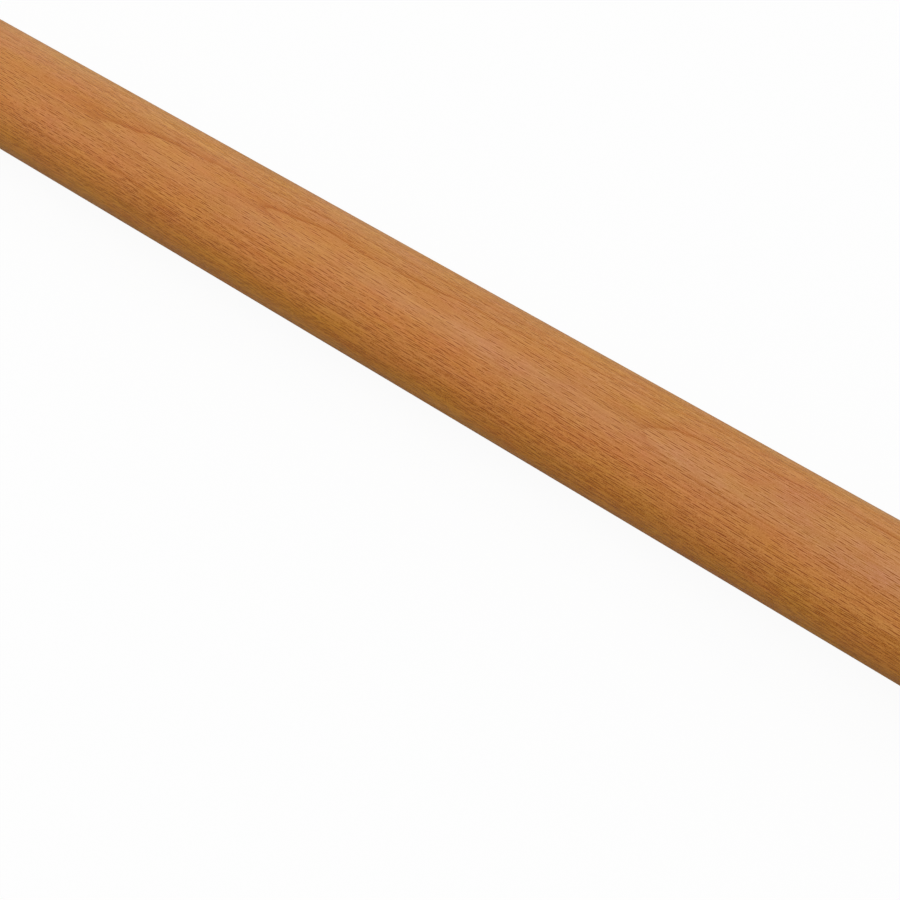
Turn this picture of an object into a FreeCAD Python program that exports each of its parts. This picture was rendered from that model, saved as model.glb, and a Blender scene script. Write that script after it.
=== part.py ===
import FreeCAD, Part
import math
import os

# A plain length of round timber handrail, made from one piece of beech.
# It lies on a level floor along X. The origin is on the floor, under the middle of its length.

# Driving dimensions, in millimetres
RAIL_LENGTH = 1000.0
RAIL_DIAMETER = 42.0
# Each square-sawn end has a 45 degree chamfer, and sanding has eased the chamfer's two corners
END_CHAMFER = 2.0
EASED_RADIUS = 0.5


def easing_arc(before, corner, after, radius):
    """The arc that eases a corner, tangent to the straight run on each side of it."""
    back = (before - corner).normalize()
    onward = (after - corner).normalize()
    half_angle = back.getAngle(onward) / 2
    inward = (back + onward).normalize()
    setback = radius / math.tan(half_angle)
    depth = radius / math.sin(half_angle) - radius
    return Part.Arc(corner + back * setback, corner + inward * depth, corner + onward * setback)


def eased_face(corners, radius):
    """A face inside straight runs from corner to corner, eased at each corner but the first and the last."""
    arcs = [easing_arc(*corners[i : i + 3], radius) for i in range(len(corners) - 2)]
    arc_ends = [point for arc in arcs for point in (arc.StartPoint, arc.EndPoint)]
    run_ends = [corners[0], *arc_ends, corners[-1]]
    runs = [Part.makeLine(*ends) for ends in zip(run_ends[::2], run_ends[1::2])]
    closing_run = Part.makeLine(corners[-1], corners[0])
    edges = Part.sortEdges([*runs, closing_run, *(arc.toShape() for arc in arcs)])[0]
    return Part.Face(Part.Wire(edges))


def lengthwise_half_section(length, radius, chamfer):
    """Half of the rail as sawn down its middle: from the axis, out over each chamfered end, to the grip."""
    half_length = length / 2
    low_end = [(-half_length, 0), (-half_length, radius - chamfer), (-half_length + chamfer, radius)]
    high_end = [(-along, out) for along, out in reversed(low_end)]
    corners = [FreeCAD.Vector(along, 0, out) for along, out in low_end + high_end]
    return eased_face(corners, EASED_RADIUS)


def round_handrail():
    """The half section turned once round the axis, and set down so that the grip touches the floor."""
    radius = RAIL_DIAMETER / 2
    section = lengthwise_half_section(RAIL_LENGTH, radius, END_CHAMFER)
    rail = section.revolve(FreeCAD.Vector(0, 0, 0), FreeCAD.Vector(1, 0, 0), 360)
    rail.translate(FreeCAD.Vector(0, 0, radius))
    return rail


os.makedirs("parts", exist_ok=True)
handrail = round_handrail()
handrail.exportStep("parts/handrail.step")
print("handrail: valid", handrail.isValid(), "volume mm3", round(handrail.Volume, 1))
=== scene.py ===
import math

import bmesh
import bpy
from bpy.props import FloatProperty, FloatVectorProperty, IntProperty, PointerProperty
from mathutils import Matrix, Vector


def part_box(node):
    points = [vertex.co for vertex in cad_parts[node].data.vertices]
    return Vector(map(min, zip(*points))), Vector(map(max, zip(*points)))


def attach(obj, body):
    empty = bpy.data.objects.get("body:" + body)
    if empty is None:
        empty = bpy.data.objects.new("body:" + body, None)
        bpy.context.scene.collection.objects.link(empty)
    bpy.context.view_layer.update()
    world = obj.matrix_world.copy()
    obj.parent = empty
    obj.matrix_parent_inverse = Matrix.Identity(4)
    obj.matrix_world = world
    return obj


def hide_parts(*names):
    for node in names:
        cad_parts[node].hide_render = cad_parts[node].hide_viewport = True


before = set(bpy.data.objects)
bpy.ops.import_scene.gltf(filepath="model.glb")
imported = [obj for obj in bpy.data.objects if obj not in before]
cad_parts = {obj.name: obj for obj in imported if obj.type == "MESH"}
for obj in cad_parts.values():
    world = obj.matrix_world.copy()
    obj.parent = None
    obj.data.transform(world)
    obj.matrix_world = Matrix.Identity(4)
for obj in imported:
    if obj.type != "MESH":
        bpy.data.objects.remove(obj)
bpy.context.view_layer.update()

bl_info = {
    "name": "Round Beech Handrail",
    "version": (1, 0, 0),
    "blender": (4, 5, 0),
    "location": "View3D > Sidebar > Handrail",
    "description": "Shapes and finishes a plain length of round handrail in steamed, satin-lacquered beech",
    "category": "Add Mesh",
}

RAIL_LOW, RAIL_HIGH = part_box("handrail")
MILLIMETRE = 0.001
WHITE = (1.0, 1.0, 1.0, 1.0)

# Where in the endless noises this length of log was sawn from, which settles its figure
BOW_PLACE = (9.8, 13.8, 8.8)
UNEVEN_PLACE = 34.1
FIRST_RING = 507.86

# How far the log bows, and its rings wander and fray, in millimetres
BOW_DEPTH = 5.0
UNEVEN_DEPTH = 3.4
RAGGED_DEPTH = 0.7

# How far out from the pith one wander of the rings reaches, in millimetres
UNEVEN_SIZE = 4.0

# Sizes of the grain in millimetres: along the log, then round its pith and out from it
BOW_SIZE = (90, 34, 34)
RAGGED_SIZE = (26, 5, 5)
PATCH_SIZE = (30, 7, 7)
HUE_SIZE = (24, 8, 8)
END_RAY_SIZE = (9, 0.34, 14)
END_PATCH_SIZE = (9, 6, 6)

# Sizes of the fine grain in millimetres: along the fibres, then across them
SWAY_SIZE = (60, 30, 30)
STREAK_SIZE = (45, 0.42, 0.42)
FIBRE_SIZE = (6, 0.38, 0.38)
FUZZ_SIZE = (0.3, 0.36, 0.36)

# How the fibres turn round the rail in radians: for each millimetre along it, and where they sway
SPIRAL = 0.0009
SWAY = 0.05

# Through one year's growth from the pith outwards: the share of the year, and how dark the ring is there
YEAR = [(0.0, 0.0), (0.45, 0.06), (0.8, 0.22), (0.91, 0.55), (0.96, 1.0), (0.99, 0.0)]

# Stretches round the rail where light and shade are painted into the timber's colour, in millimetres round
# the pith from the crest of the figure, and below 0 down the front: where each stretch begins, and where it
# is full
LOWER_FRONT = (-3.0, -9.0)
FRONT_RIM = (-16.0, -20.5)
UPPER_BACK = (6.0, 11.0)
BACK_RIM = (10.0, 13.0)


class HandrailSizes(bpy.types.PropertyGroup):
    """The rail's own sizes. The length and diameter come from the frame."""

    length: FloatProperty(
        name="Length",
        description="From one sawn end to the other",
        default=RAIL_HIGH.x - RAIL_LOW.x,
        unit="LENGTH",
    )
    diameter: FloatProperty(
        name="Diameter",
        description="Across the grip",
        default=RAIL_HIGH.z - RAIL_LOW.z,
        unit="LENGTH",
    )
    end_chamfer: FloatProperty(
        name="End chamfer",
        description="Width of the 45 degree chamfer on each end",
        default=0.002,
        unit="LENGTH",
    )
    eased_radius: FloatProperty(
        name="Eased corners",
        description="Radius sanded on the chamfer's two corners",
        default=0.0005,
        unit="LENGTH",
    )
    sides: IntProperty(name="Sides", description="Flat faces round the grip", default=192, min=16)
    stretches: IntProperty(name="Stretches", description="Rows of faces along the grip", default=40, min=2)


class BeechFinish(bpy.types.PropertyGroup):
    """How the timber and its lacquer look."""

    palest: FloatVectorProperty(
        name="Palest",
        description="Colour of the palest fibres",
        subtype="COLOR",
        default=(0.622, 0.258, 0.078),
    )
    body: FloatVectorProperty(
        name="Body",
        description="Colour of most of the timber",
        subtype="COLOR",
        default=(0.490, 0.178, 0.0395),
    )
    darker: FloatVectorProperty(
        name="Darker",
        description="Colour of the fainter flecks",
        subtype="COLOR",
        default=(0.396, 0.122, 0.005),
    )
    darkest: FloatVectorProperty(
        name="Darkest",
        description="Colour of the boldest flecks",
        subtype="COLOR",
        default=(0.285, 0.070, 0.000),
    )
    end_grain: FloatVectorProperty(
        name="End grain",
        description="Colour of the sawn ends",
        subtype="COLOR",
        default=(0.330, 0.130, 0.036),
    )
    end_pores: FloatVectorProperty(
        name="End pores",
        description="Colour of the pores in them",
        subtype="COLOR",
        default=(0.120, 0.040, 0.010),
    )
    end_rays: FloatVectorProperty(
        name="End rays",
        description="Colour of the rays across them",
        subtype="COLOR",
        default=(0.480, 0.225, 0.080),
    )
    bold_flecks: FloatProperty(name="Bold flecks", description="Strength of the large flecks", default=2.05)
    fine_flecks: FloatProperty(name="Fine flecks", description="Strength of the small flecks", default=1.35)
    streaks: FloatProperty(name="Streaks", description="Strength of the long streaks", default=1.15)
    fibres: FloatProperty(name="Fibres", description="Strength of the short fibres", default=0.55)
    fuzz: FloatProperty(name="Fuzz", description="Strength of the finest speckle", default=1.1)
    patches: FloatProperty(name="Patches", description="Strength of the broad patches", default=0.14)
    rings: FloatProperty(name="Rings", description="Strength of the lines of the rings", default=0.27)
    ring_width: FloatProperty(
        name="Ring width",
        description="One year's growth",
        default=0.002,
        unit="LENGTH",
    )
    pith_distance: FloatProperty(
        name="Pith distance",
        description="From the log's pith to the rail's axis",
        default=0.07,
        unit="LENGTH",
    )
    crest_elevation: FloatProperty(
        name="Crest elevation",
        description="Where the flat-sawn crest of the figure lies round the rail, above level on the front",
        default=math.radians(82.5),
        subtype="ANGLE",
    )
    run_out: FloatProperty(
        name="Run-out",
        description="How fast the pith leaves the rail's axis along the rail",
        default=0.022,
    )
    pin_knot: FloatVectorProperty(
        name="Pin knot",
        description="Where the small dark knot is",
        subtype="TRANSLATION",
        default=(0.0315, -0.0185, 0.0309),
    )
    roughness: FloatProperty(
        name="Roughness",
        description="Of the satin lacquer",
        default=0.434,
        min=0,
        max=1,
        subtype="FACTOR",
    )
    gloss: FloatProperty(
        name="Gloss",
        description="Strength of the lacquer's reflection",
        default=0.3,
        min=0,
        max=1,
        subtype="FACTOR",
    )


class StudioStage(bpy.types.PropertyGroup):
    """The camera, the lights and the floor."""

    lens: FloatProperty(name="Lens", description="Focal length in millimetres", default=50.0, unit="CAMERA")
    azimuth: FloatProperty(
        name="Azimuth",
        description="Camera's turn from looking along +Y",
        default=math.radians(34.74),
        subtype="ANGLE",
    )
    elevation: FloatProperty(
        name="Elevation",
        description="Camera's height above level",
        default=math.radians(60.86),
        subtype="ANGLE",
    )
    standpoint: FloatVectorProperty(
        name="Standpoint",
        description="Where the camera is",
        subtype="TRANSLATION",
        default=(0.135, -0.1901, 0.3636),
    )
    ambient: FloatProperty(name="Ambient", description="Brightness of the surroundings", default=0.74)
    softbox: FloatProperty(
        name="Softbox",
        description="Power of the long lamp overhead",
        default=7.9,
        unit="POWER",
    )
    softbox_place: FloatVectorProperty(
        name="Softbox place",
        description="Where the long lamp hangs",
        subtype="TRANSLATION",
        default=(-0.61, -0.1, 1.6),
    )
    softbox_size: FloatVectorProperty(
        name="Softbox size",
        description="How long and how wide it is",
        size=2,
        unit="LENGTH",
        default=(1.02, 0.96),
    )
    key: FloatProperty(
        name="Key lamp",
        description="Power of the small lamp at the right",
        default=3.2,
        unit="POWER",
    )
    key_place: FloatVectorProperty(
        name="Key lamp place",
        description="Where the small lamp hangs",
        subtype="TRANSLATION",
        default=(0.63, 0.93, 1.6),
    )
    key_size: FloatVectorProperty(
        name="Key lamp size",
        description="How long and how wide it is",
        size=2,
        unit="LENGTH",
        default=(0.29, 0.29),
    )
    floor_size: FloatProperty(name="Floor", description="Length of its sides", default=12.0, unit="LENGTH")


class Wire:
    """A socket's value over the surface. A sum written with it adds its Math nodes."""

    def __init__(self, nodes, socket):
        self.nodes = nodes
        self.socket = socket

    def maths(self, operation, *values, clamp=False):
        """Adds a Math node on these values."""
        settings = {"operation": operation, "use_clamp": clamp}
        return self.nodes.add("Math", settings, dict(enumerate(values)))

    def __add__(self, other):
        return self.maths("ADD", self, other)

    def __sub__(self, other):
        return self.maths("SUBTRACT", self, other)

    def __rsub__(self, other):
        return self.maths("SUBTRACT", other, self)

    def __mul__(self, other):
        return self.maths("MULTIPLY", self, other)

    def __truediv__(self, other):
        return self.maths("DIVIDE", self, other)

    def __pow__(self, other):
        return self.maths("POWER", self, other)

    __radd__, __rmul__ = __add__, __mul__

    def within_one(self):
        """Held between 0 and 1."""
        return self.maths("ADD", self, 0.0, clamp=True)

    def rise(self, none, full):
        """0 at the first value and 1 at the second, which may be the lower one, and held beyond them."""
        return self.maths("DIVIDE", self - none, full - none, clamp=True)

    def whole(self):
        """The whole number below."""
        return self.maths("FLOOR", self)

    def rest(self):
        """What is left above the whole number."""
        return self.maths("FRACT", self)

    def magnitude(self):
        """Without its sign."""
        return self.maths("ABSOLUTE", self)

    def turn_from(self, upright):
        """The angle from upright of a point that is this far across."""
        return self.maths("ARCTAN2", self, upright)


class Nodes:
    """Adds the nodes of one material or world, each wired as it is made. Outputs go by name or number."""

    def __init__(self, owner):
        owner.use_nodes = True
        self.tree = owner.node_tree
        self.tree.nodes.clear()

    def add(self, kind, settings=None, sockets=None, output=0):
        """Adds a node, makes its settings and then fills its sockets. Gives back one output, or several."""
        node = self.tree.nodes.new("ShaderNode" + kind)
        for name, value in (settings or {}).items():
            if name == "stops":
                set_stops(node.color_ramp, value)
            else:
                setattr(node, name, value)
        for name, value in (sockets or {}).items():
            if isinstance(value, Wire):
                self.tree.links.new(value.socket, node.inputs[name])
            else:
                node.inputs[name].default_value = value
        if isinstance(output, tuple):
            return [Wire(self, node.outputs[name]) for name in output]
        return Wire(self, node.outputs[output]) if node.outputs else node

    def parts(self, vector):
        """The three numbers of a vector."""
        return self.add("SeparateXYZ", None, {0: vector}, (0, 1, 2))

    def vector(self, x, y, z):
        """A vector of three numbers."""
        return self.add("CombineXYZ", None, {0: x, 1: y, 2: z})

    def mixed(self, share, first, second):
        """A colour between two others."""
        return self.add("Mix", {"data_type": "RGBA"}, {0: share, 6: first, 7: second}, 2)

    def vectors(self, operation, *values, output=0):
        """Adds a Vector Math node on these vectors."""
        return self.add("VectorMath", {"operation": operation}, dict(enumerate(values)), output)

    def noise(self, place, detail=2.0, roughness=0.5, output=0):
        """A cloudy noise from 0 to 1."""
        sockets = {"Vector": place, "Scale": 1.0, "Detail": detail, "Roughness": roughness}
        return self.add("TexNoise", {"noise_dimensions": "3D"}, sockets, output)

    def grain(self, place, size, detail=1.0):
        """A noise about 0, of that size along each direction."""
        return self.noise(self.vectors("DIVIDE", place, size), detail) - 0.5

    def white_noise(self, number):
        """A number from 0 to 1 drawn by lot for each whole number."""
        return self.add("TexWhiteNoise", {"noise_dimensions": "1D"}, {"W": number})


def set_stops(ramp, stops):
    """Gives a colour ramp its stops, each a place and a grey or a colour."""
    while len(ramp.elements) < len(stops):
        ramp.elements.new(1.0)
    for element, (place, shade) in zip(ramp.elements, stops):
        element.position = place
        element.color = opaque((shade,) * 3) if isinstance(shade, float) else opaque(shade)


def opaque(colour):
    """A colour as a socket takes it."""
    return (*colour, 1.0)


def place_in_log(nodes, finish, radius):
    """Where each point lay in the log: along it, round the pith and out from it, in millimetres."""
    pith_distance = finish.pith_distance / MILLIMETRE
    point = nodes.add("TexCoord", output="Object")
    turned = nodes.add(
        "Mapping",
        {"vector_type": "POINT"},
        {
            "Vector": nodes.vectors("SUBTRACT", point, (0, 0, radius)),
            "Location": (0, 0, pith_distance),
            "Rotation": (finish.crest_elevation - math.pi / 2, 0, 0),
            "Scale": (1 / MILLIMETRE,) * 3,
        },
    )
    along, across, up = nodes.parts(turned)
    slow = nodes.vectors("ADD", nodes.vectors("DIVIDE", turned, BOW_SIZE), BOW_PLACE)
    bow = (nodes.noise(slow, detail=1.5) - 0.5) * BOW_DEPTH
    up = up + bow + along * finish.run_out
    out = (across * across + up * up) ** 0.5
    return along, across.turn_from(up) * pith_distance, out


def growth_rings(nodes, finish, place):
    """How dark the ring is at each point, from 0 to 1."""
    _, around, out = place
    wander = nodes.vector(0.0, 0.0, out / UNEVEN_SIZE + UNEVEN_PLACE)
    uneven = nodes.noise(wander, detail=1.0) * UNEVEN_DEPTH
    ragged = nodes.grain(nodes.vector(*place), RAGGED_SIZE, detail=3.0) * RAGGED_DEPTH
    year = (out + uneven + ragged) / (finish.ring_width / MILLIMETRE) + FIRST_RING
    line = nodes.add("ValToRGB", {"stops": YEAR}, {"Fac": year.rest()})
    strength = 0.25 + 0.75 * nodes.white_noise(year.whole())
    bolder_back = 0.45 + 0.65 * around.rise(-3.0, 1.0)
    return line * strength * bolder_back


def fibre_place(nodes, radius):
    """Each point turned with the spiral of the fibres, how far along it is, and how far round the girth."""
    point = nodes.vectors("SUBTRACT", nodes.add("TexCoord", output="Object"), (0, 0, radius))
    point = nodes.vectors("MULTIPLY", point, (1 / MILLIMETRE,) * 3)
    spiral = nodes.parts(point)[0] * SPIRAL
    twist = nodes.grain(point, SWAY_SIZE) * SWAY - spiral
    turned = nodes.add("VectorRotate", {"rotation_type": "X_AXIS"}, {"Vector": point, "Angle": twist})
    along, across, up = nodes.parts(turned)
    return turned, along, across.turn_from(up) * (radius / MILLIMETRE)


def drawn(chance, share):
    """1 for that share of the lots and 0 for the others, with a few in between."""
    return chance.rise(share, share - 1 / 12)


def ray_flecks(nodes, along, girth, row_width, spacing, share):
    """Thin dark spindles with pale flanks along the grain, where the surface cuts the rays.

    They lie in rows with one place for each spacing, and that share of the places has a fleck.
    """
    # A row starts this share of the spacing after the one before it, so that no two neighbours line up
    stagger = 0.382
    jitter = 0.12
    row = girth / row_width
    run = along / spacing + row.whole() * stagger + nodes.white_noise(row.whole() + row_width) * jitter
    place = nodes.vector(run.whole(), row.whole(), row_width)
    lot = nodes.add("TexWhiteNoise", {"noise_dimensions": "3D"}, {"Vector": place}, "Color")
    chance, strength, length = nodes.parts(lot)
    half_length = 0.22 + 0.24 * length
    half_width = 0.4
    lengthwise = (run.rest() - 0.5) / half_length
    crosswise = (row.rest() - 0.5).magnitude() / half_width
    taper = (1.0 - lengthwise * lengthwise).within_one()
    dark = ((taper - crosswise) * 1.8).within_one()
    pale = taper * 0.42
    return (dark - pale) * drawn(chance, share) * (0.45 + 0.6 * strength)


def fibre_darkness(nodes, finish, place, rings, patches, radius):
    """How dark the timber is at each point, from 0 for the palest fibres to 1 for the boldest flecks, with
    painted light paling the lower front rim.
    """
    _, around, _ = place
    fibre, run, girth = fibre_place(nodes, radius)
    bold_flecks = ray_flecks(nodes, run, girth, row_width=0.6, spacing=8.0, share=0.6)
    # The finer rows are moved a little, so that they don't start where the bold ones do
    fine_flecks = ray_flecks(nodes, run + 3.0, girth + 0.23, row_width=0.46, spacing=5.0, share=0.45)
    lines = bold_flecks * finish.bold_flecks + fine_flecks * finish.fine_flecks
    lines = lines + nodes.grain(fibre, STREAK_SIZE) * finish.streaks
    lines = lines + nodes.grain(fibre, FIBRE_SIZE) * finish.fibres
    lines = lines + nodes.grain(fibre, FUZZ_SIZE) * finish.fuzz
    # What the flecks add up to on average, which would darken the whole rail
    average = 0.08
    # The lines are quiet on the flat-sawn crest, and bold where the flanks cut the rays
    boldness = 0.62 + around * around * 0.005
    # Painted light: paler along the lower front rim, lightening the shaded underside's edge
    painted_light_rim = around.rise(*FRONT_RIM) * 0.14
    timber_and_painted_rim = 0.4 + patches * finish.patches + rings * finish.rings - painted_light_rim
    return timber_and_painted_rim + (lines - average) * boldness + pin_knot(nodes, finish)


def pin_knot(nodes, finish):
    """A dark dot just over a millimetre across, soft at its rim."""
    point = nodes.add("TexCoord", output="Object")
    away = nodes.vectors("DISTANCE", point, tuple(finish.pin_knot), output="Value")
    return away.rise(0.6 * MILLIMETRE, 0.2 * MILLIMETRE)


def tint_and_painted_light(nodes, place, rings):
    """What the fibres' colour is multiplied by: slow drifts of hue, and painted light and shade that change
    round the rail.
    """
    along, around, _ = place
    front_rim = around.rise(*FRONT_RIM)
    # Painted sheen: a band along the crest where the lacquer's highlight lies, made bluer, and in it a
    # greyer, bluer streak that grows towards the right end
    crest = (1.0 - ((around + 1.5) / 6.0) ** 2.0).within_one()
    painted_sheen_streak = crest * (along.rise(-60.0, 340.0) - 0.3)
    # How much each stretch shifts red, green and blue, all of it painted light and shade: warmer low on the
    # front, greener at the lower rim, brighter and greener up the back, bluer along the top rim where a
    # grazing reflection is painted, and the crest's painted sheen
    painted_light_shifts = (
        (around.rise(*LOWER_FRONT), (0.05, -0.045, -0.04)),
        (front_rim, (0.0, 0.03, 0.0)),
        (around.rise(*UPPER_BACK), (0.09, 0.17, 0.05)),
        (around.rise(*BACK_RIM), (0.05, 0.09, 0.14)),
        (crest, (0.0, 0.0, 0.03)),
        (painted_sheen_streak, (0.0, 0.1, 1.1)),
    )
    red, green, blue = [
        sum(stretch * shift[part] for stretch, shift in painted_light_shifts if shift[part]) for part in range(3)
    ]
    slow = nodes.vectors("DIVIDE", nodes.vector(*place), HUE_SIZE)
    gold, pale, _ = nodes.parts(nodes.noise(slow, detail=4.0, roughness=0.7, output="Color"))
    green_drift = 0.787 + gold * 0.4
    blue_drift = 0.4 + pale * 1.2
    # Painted shade: less blue lower down the front and least at its rim, so that the shaded underside looks
    # warm and shows no reflection
    painted_warm_front = 0.5 + 0.5 * around.rise(-17.0, -4.0) - front_rim * 0.16
    # The red is held down all round and given back by the painted light lower down the front, which leaves
    # the crest less red as part of its painted sheen
    return nodes.vector(
        red + 0.945 - rings * 0.06,
        green + green_drift - rings * 0.18,
        (blue + 1.0) * blue_drift * painted_warm_front * (1.0 - rings * 0.4),
    )


def lacquered_beech(finish, radius):
    """Steamed beech seen along the grain, under satin lacquer."""
    material = bpy.data.materials.new("lacquered_beech")
    nodes = Nodes(material)
    place = place_in_log(nodes, finish, radius)
    rings = growth_rings(nodes, finish, place)
    patches = nodes.grain(nodes.vector(*place), PATCH_SIZE, detail=3.0)
    darkness = fibre_darkness(nodes, finish, place, rings, patches, radius)
    stops = [(0.0, finish.palest), (0.45, finish.body), (0.75, finish.darker), (1.0, finish.darkest)]
    colour = nodes.add("ValToRGB", {"stops": stops}, {"Fac": darkness})
    relief = nodes.add("Bump", None, {"Strength": 0.12, "Distance": 0.0002, "Height": 1.0 - darkness})
    shader = nodes.add(
        "BsdfPrincipled",
        None,
        {
            "Base Color": nodes.vectors("MULTIPLY", colour, tint_and_painted_light(nodes, place, rings)),
            "Roughness": finish.roughness + patches * 0.4,
            "Specular IOR Level": finish.gloss,
            "Normal": relief,
        },
    )
    nodes.add("OutputMaterial", None, {"Surface": shader})
    return material


def end_pores(nodes, place, spacing, share):
    """Round pores a fraction of a millimetre across, in that share of the cells of the spacing."""
    _, around, out = place
    cells = nodes.vector(0.0, around / spacing, out / spacing)
    sockets = {"Vector": cells, "Scale": 1.0}
    distance, lot = nodes.add("TexVoronoi", {"voronoi_dimensions": "3D"}, sockets, ("Distance", "Color"))
    chance, strength, _ = nodes.parts(lot)
    return distance.rise(0.42, 0.3) * drawn(chance, share) * (0.4 + 0.6 * strength)


def sawn_end_grain(finish, radius):
    """The same timber cut across: rings in arcs, pale rays straight out from the pith, and dark pores."""
    material = bpy.data.materials.new("sawn_end_grain")
    nodes = Nodes(material)
    place = place_in_log(nodes, finish, radius)
    rings = growth_rings(nodes, finish, place)
    pores = end_pores(nodes, place, spacing=0.22, share=0.75)
    rays = nodes.grain(nodes.vector(*place), END_RAY_SIZE).rise(0.06, 0.16)
    patches = nodes.grain(nodes.vector(*place), END_PATCH_SIZE, detail=3.0)
    colour = nodes.mixed(pores, opaque(finish.end_grain), opaque(finish.end_pores))
    colour = nodes.mixed(rays * 0.7, colour, opaque(finish.end_rays))
    shade = 1.15 - rings * 0.6 - patches * 0.4
    relief = nodes.add("Bump", None, {"Strength": 0.2, "Distance": 0.0002, "Height": rays - pores})
    shader = nodes.add(
        "BsdfPrincipled",
        None,
        {
            "Base Color": nodes.vectors("MULTIPLY", colour, nodes.vector(shade, shade, shade)),
            "Roughness": 0.6 + pores * 0.2,
            "Specular IOR Level": finish.gloss * 0.7,
            "Normal": relief,
        },
    )
    nodes.add("OutputMaterial", None, {"Surface": shader})
    return material


def begin_alone():
    """Leaves nothing selected, so that the next operators act on the new piece alone."""
    if bpy.context.object and bpy.context.object.mode != "OBJECT":
        bpy.ops.object.mode_set(mode="OBJECT")
    bpy.ops.object.select_all(action="DESELECT")


def pick_edges(piece, wanted):
    """In edit mode, selects just the edges that are wanted."""
    bpy.ops.mesh.select_mode(type="EDGE")
    bpy.ops.mesh.select_all(action="DESELECT")
    mesh = bmesh.from_edit_mesh(piece.data)
    for edge in mesh.edges:
        edge.select_set(wanted(edge))
    bmesh.update_edit_mesh(piece.data)


def pick_faces(piece, wanted):
    """In edit mode, selects just the faces that are wanted."""
    bpy.ops.mesh.select_mode(type="FACE")
    bpy.ops.mesh.select_all(action="DESELECT")
    mesh = bmesh.from_edit_mesh(piece.data)
    mesh.normal_update()
    for face in mesh.faces:
        face.select_set(wanted(face))
    bmesh.update_edit_mesh(piece.data)


def span(edge):
    """How far an edge reaches along the rail."""
    return abs(edge.verts[0].co.x - edge.verts[1].co.x)


def chamfer_the_ends(rail, sizes):
    """Chamfers the rim of each end, then rounds the chamfer's two corners."""
    rim_begins = sizes.length / 2 - 1.5 * sizes.end_chamfer

    def round_the_end(edge):
        return span(edge) < sizes.end_chamfer / 4 and abs(edge.verts[0].co.x) > rim_begins

    pick_edges(rail, round_the_end)
    bpy.ops.mesh.bevel(offset=sizes.end_chamfer, segments=1, affect="EDGES")
    # An arc between two faces that turn by 45 degrees begins this far from their corner
    setback = sizes.eased_radius * math.tan(math.pi / 8)
    pick_edges(rail, round_the_end)
    bpy.ops.mesh.bevel(offset=setback, segments=3, affect="EDGES")


def cap_the_ends(rail, sizes):
    """Divides each flat end into two rings of faces and a fan in the middle."""
    outer_ring = sizes.end_chamfer
    inner_ring = sizes.diameter * 0.2
    pick_faces(rail, lambda face: abs(face.normal.x) > 0.99 and len(face.verts) == sizes.sides)
    bpy.ops.mesh.inset(thickness=outer_ring, use_individual=True)
    bpy.ops.mesh.inset(thickness=inner_ring, use_individual=True)
    bpy.ops.mesh.poke()


def shape_rail(sizes):
    """The rail as a mesh: a round blank with chamfered, eased and capped ends."""
    begin_alone()
    bpy.ops.mesh.primitive_cylinder_add(
        vertices=sizes.sides,
        radius=sizes.diameter / 2,
        depth=sizes.length,
        end_fill_type="NGON",
        location=(0, 0, sizes.diameter / 2),
        rotation=(0, math.pi / 2, 0),
    )
    rail = bpy.context.object
    rail.name = rail.data.name = "round_handrail"
    bpy.ops.object.transform_apply(location=True, rotation=True, scale=True)
    bpy.ops.object.mode_set(mode="EDIT")
    chamfer_the_ends(rail, sizes)
    cap_the_ends(rail, sizes)
    pick_edges(rail, lambda edge: span(edge) > sizes.length / 2)
    bpy.ops.mesh.subdivide(number_cuts=sizes.stretches - 1)
    bpy.ops.mesh.select_all(action="SELECT")
    bpy.ops.mesh.normals_make_consistent(inside=False)
    bpy.ops.object.mode_set(mode="OBJECT")
    bpy.ops.object.shade_smooth()
    rail.modifiers.new("even_shading", "WEIGHTED_NORMAL")
    bpy.ops.object.modifier_apply(modifier="even_shading")
    return rail


def is_end(face):
    """True on the sawn ends and their chamfers."""
    return abs(face.normal.x) > 0.3


def finish_ends(rail, end_material):
    """Gives the ends the second material."""
    rail.data.materials.append(end_material)
    bpy.ops.object.mode_set(mode="EDIT")
    pick_faces(rail, is_end)
    rail.active_material_index = len(rail.data.materials) - 1
    bpy.ops.object.material_slot_assign()
    bpy.ops.object.mode_set(mode="OBJECT")


def unroll(rail, sizes):
    """Lays the rail flat on a map of its own: the grip, its girth stretched, and both ends above it."""
    radius = sizes.diameter / 2
    margin, grip_share, end_share = 0.01, 0.78, 0.17
    mesh = bmesh.new()
    mesh.from_mesh(rail.data)
    mesh.normal_update()
    layer = mesh.loops.layers.uv.new("OFBake")
    for face in mesh.faces:
        middle = face.calc_center_median()
        middle_turn = math.atan2(middle.y, radius - middle.z)
        end_left = margin + (middle.x > 0) * (end_share + 2 * margin)
        end_low = 1 - margin - end_share
        for loop in face.loops:
            place = loop.vert.co
            if is_end(face):
                across, up = place.y / sizes.diameter + 0.5, place.z / sizes.diameter
                loop[layer].uv = (end_left + across * end_share, end_low + up * end_share)
            else:
                # A corner on the seam gets its face's own side of it
                turn = math.atan2(place.y, radius - place.z)
                turn += round((middle_turn - turn) / math.tau) * math.tau
                along, around = place.x / sizes.length + 0.5, turn / math.tau + 0.5
                loop[layer].uv = (margin + along * (1 - 2 * margin), margin + around * grip_share)
    mesh.to_mesh(rail.data)
    mesh.free()


class HANDRAIL_OT_rail(bpy.types.Operator):
    """Shapes the round rail in place of its solid, and finishes it in lacquered beech"""

    bl_idname = "handrail.rail"
    bl_label = "Shape the rail"

    def execute(self, context):
        sizes, finish = context.scene.handrail_sizes, context.scene.handrail_finish
        rail = shape_rail(sizes)
        rail.data.materials.append(lacquered_beech(finish, sizes.diameter / 2))
        finish_ends(rail, sawn_end_grain(finish, sizes.diameter / 2))
        unroll(rail, sizes)
        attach(rail, "root")
        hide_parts("handrail")
        return {"FINISHED"}


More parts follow.
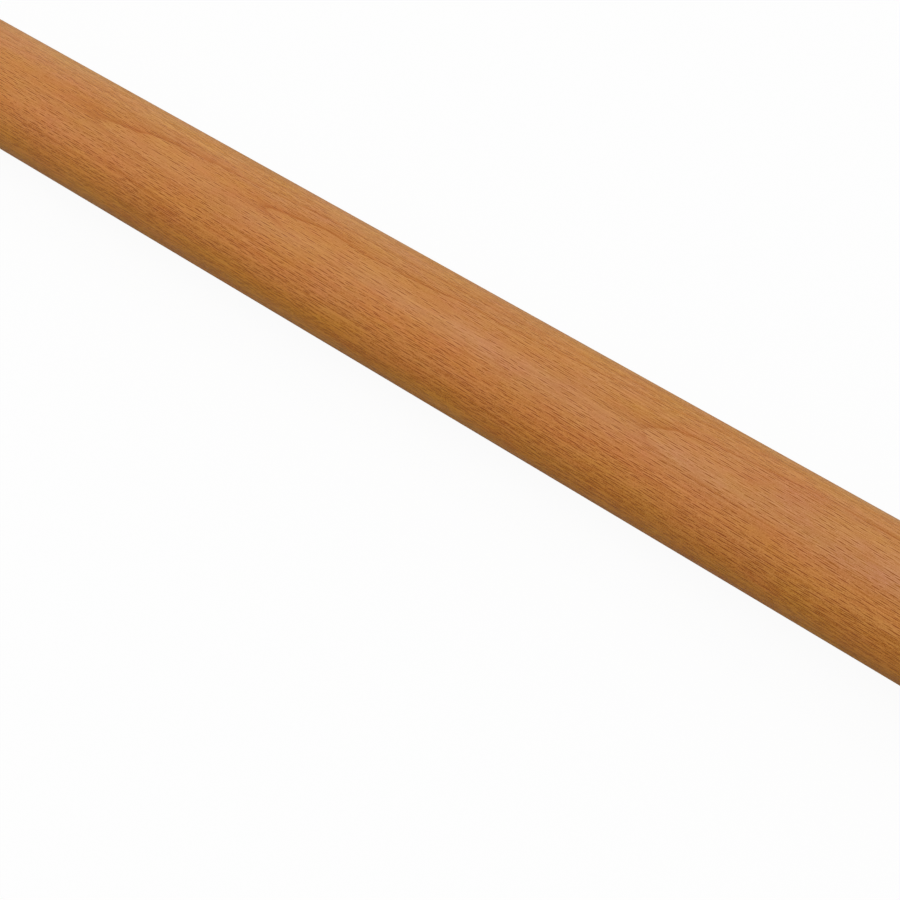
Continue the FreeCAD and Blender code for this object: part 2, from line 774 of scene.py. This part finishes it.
def ways_of_seeing(nodes):
    """1 each for what the camera sees straight, in a gloss and through glass."""
    return nodes.add("LightPath", output=("Is Camera Ray", "Is Glossy Ray", "Is Transmission Ray"))


def pale_floor():
    """A pale floor that keeps the rail's shadow, and is nearly white where the camera sees it."""
    material = bpy.data.materials.new("pale_floor")
    nodes = Nodes(material)
    straight, glossy, through = ways_of_seeing(nodes)
    white_share = straight * 0.86 + (glossy + through) * 0.06
    plain = nodes.add("BsdfDiffuse", None, {"Color": (0.3, 0.3, 0.3, 1.0)})
    white = nodes.add("Emission", None, {"Color": WHITE, "Strength": 1.1})
    both = nodes.add("MixShader", None, {0: white_share, 1: plain, 2: white})
    nodes.add("OutputMaterial", None, {"Surface": both})
    return material


def studio_world(stage):
    """Even surroundings: white where they are seen, and dimmer as light."""
    world = bpy.data.worlds.new("studio")
    nodes = Nodes(world)
    straight, glossy, through = ways_of_seeing(nodes)
    seen = (straight + glossy + through).within_one()
    strength = seen * (1.0 - stage.ambient) + stage.ambient
    sky = nodes.add("Background", None, {"Color": WHITE, "Strength": strength})
    nodes.add("OutputWorld", None, {"Surface": sky})
    return world


def hang_lamp(name, watts, place, size):
    """A square-cornered lamp over the rail, turned to face the line of its axis."""
    tilt = math.atan2(-place[1], place[2])
    bpy.ops.object.light_add(type="AREA", location=place, rotation=(tilt, 0, 0))
    lamp = bpy.context.object
    lamp.name = name
    lamp.data.energy = watts
    lamp.data.shape = "RECTANGLE"
    lamp.data.size, lamp.data.size_y = size


class HANDRAIL_OT_stage(bpy.types.Operator):
    """Lays the pale floor and sets up the light and the camera"""

    bl_idname = "handrail.stage"
    bl_label = "Set the stage"

    def execute(self, context):
        scene = context.scene
        stage = scene.handrail_stage
        begin_alone()
        bpy.ops.mesh.primitive_plane_add(size=stage.floor_size)
        floor = context.object
        floor.name = "floor"
        floor.data.materials.append(pale_floor())
        scene.world = studio_world(stage)
        hang_lamp("softbox", stage.softbox, stage.softbox_place, stage.softbox_size)
        hang_lamp("key_lamp", stage.key, stage.key_place, stage.key_size)
        turn = (math.pi / 2 - stage.elevation, 0, stage.azimuth)
        bpy.ops.object.camera_add(location=stage.standpoint, rotation=turn)
        scene.camera = context.object
        scene.camera.data.lens = stage.lens
        scene.camera.data.sensor_width = 36.0
        scene.view_settings.view_transform = "Standard"
        return {"FINISHED"}


class HANDRAIL_PT_panel(bpy.types.Panel):
    """Lists the sizes, the finish, the stage and the operators"""

    bl_label = "Handrail"
    bl_space_type = "VIEW_3D"
    bl_region_type = "UI"
    bl_category = "Handrail"

    def draw(self, context):
        scene = context.scene
        for group in (scene.handrail_sizes, scene.handrail_finish, scene.handrail_stage):
            for name in group.__annotations__:
                self.layout.prop(group, name)
        for operator in OPERATORS:
            self.layout.operator(operator.bl_idname)


OPERATORS = (HANDRAIL_OT_rail, HANDRAIL_OT_stage)
CLASSES = (HandrailSizes, BeechFinish, StudioStage, *OPERATORS, HANDRAIL_PT_panel)


def register():
    for cls in CLASSES:
        bpy.utils.register_class(cls)
    bpy.types.Scene.handrail_sizes = PointerProperty(type=HandrailSizes)
    bpy.types.Scene.handrail_finish = PointerProperty(type=BeechFinish)
    bpy.types.Scene.handrail_stage = PointerProperty(type=StudioStage)


def unregister():
    del bpy.types.Scene.handrail_stage
    del bpy.types.Scene.handrail_finish
    del bpy.types.Scene.handrail_sizes
    for cls in reversed(CLASSES):
        bpy.utils.unregister_class(cls)


def main():
    register()
    bpy.ops.handrail.rail()
    bpy.ops.handrail.stage()


if __name__ == "__main__":
    main()
